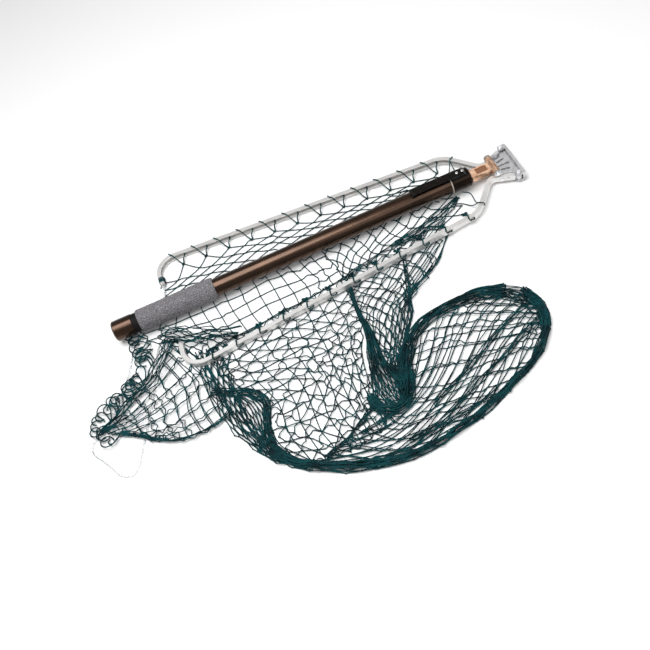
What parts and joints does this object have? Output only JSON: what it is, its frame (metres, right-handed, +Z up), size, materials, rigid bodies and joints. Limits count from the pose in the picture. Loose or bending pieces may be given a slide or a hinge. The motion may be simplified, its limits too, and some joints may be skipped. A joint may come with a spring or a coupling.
{
  "type": "landing net",
  "caption": "Folding telescopic landing net with a tubular handle, belt clip, flip-over knuckle, two swinging channel arms and a knotted net bag",
  "frame": {"origin": "centre of the butt cap's end face, on the handle's axis", "axes": "+X along the handle from the butt to the head, +Z up from the floor that the folded net lies on, +Y to the left arm"},
  "size_m": [0.6685, 0.4572, 0.0394],
  "materials": {
    "bronze_anodised": "satin bronze-brown anodised tube",
    "dark_anodised": "very dark brown anodised aluminium",
    "grip_rubber": "grey rubber with a pebbled surface",
    "black_rubber": "black rubber",
    "black_plastic": "black nylon",
    "pale_plastic": "pale acetal ring",
    "black_enamel": "black enamelled spring steel",
    "bright_steel": "bright plated steel",
    "copper_cast": "copper-coloured anodised casting",
    "cast_alloy": "polished die-cast alloy",
    "satin_aluminium": "satin aluminium channel",
    "twine": "dark teal knotted nylon twine",
    "clear_line": "clear monofilament",
    "clear_plastic": "translucent nylon"
  },
  "bodies": {
    "handle": {"handle_tube": "bronze_anodised", "grip_sleeve": "grip_rubber", "butt_cap": "bronze_anodised", "butt_seal_ring": "black_rubber", "butt_plug": "black_plastic", "front_collar": "dark_anodised", "wiper_ring": "pale_plastic", "collar_bush": "black_plastic", "clip_foot": "black_enamel", "clip_rivets": "bright_steel"},
    "clip": {"clip_leaf": "black_enamel"},
    "rod": {"inner_tube": "dark_anodised", "guide_bush": "black_plastic", "bush_rivet": "bright_steel", "knuckle": "copper_cast", "knuckle_pins": "bright_steel"},
    "head": {"spreader_yoke": "cast_alloy", "hinge_pin": "bright_steel", "hinge_washers": "copper_cast", "left_pivot_pin": "bright_steel", "right_pivot_pin": "bright_steel", "net_mouth": "twine", "cord_knot": "clear_line"},
    "left_arm": {"left_arm": "satin_aluminium", "left_hinge_plate": "cast_alloy", "left_plate_rivets": "bright_steel", "left_tip_ferrule": "clear_plastic", "left_stop_knot": "clear_line", "left_lashings": "twine", "left_cord": "clear_line"},
    "right_arm": {"right_arm": "satin_aluminium", "right_hinge_plate": "cast_alloy", "right_plate_rivets": "bright_steel", "right_tip_ferrule": "clear_plastic", "right_stop_knot": "clear_line", "right_lashings": "twine", "right_cord": "clear_line", "net_bag": "twine", "net_lobe": "twine", "net_flap": "twine"}
  },
  "joints": [
    {"name": "handle_extend", "type": "slide", "parent": "handle", "child": "rod", "axis": [1, 0, 0], "range_m": [0, 0.34]},
    {"name": "head_flip", "type": "hinge", "parent": "rod", "child": "head", "pos_m": [0.565, 0, 0], "axis": [0, -1, 0], "range_deg": [0, 180]},
    {"name": "left_arm_spread", "type": "hinge", "parent": "head", "child": "left_arm", "pos_m": [0.59007, 0.028, -0.0093], "axis": [0.0079, 0, -1], "range_deg": [0, 16]},
    {"name": "right_arm_spread", "type": "hinge", "parent": "head", "child": "right_arm", "pos_m": [0.59007, -0.028, -0.0093], "axis": [-0.0079, 0, 1], "range_deg": [0, 16]},
    {"name": "clip_flex", "type": "hinge", "parent": "handle", "child": "clip", "pos_m": [0.503, -0.0037, 0.0187], "axis": [0, 0.9816, 0.1908], "range_deg": [0, 6], "stiffness_Nm_per_rad": 1.2}
  ]
}
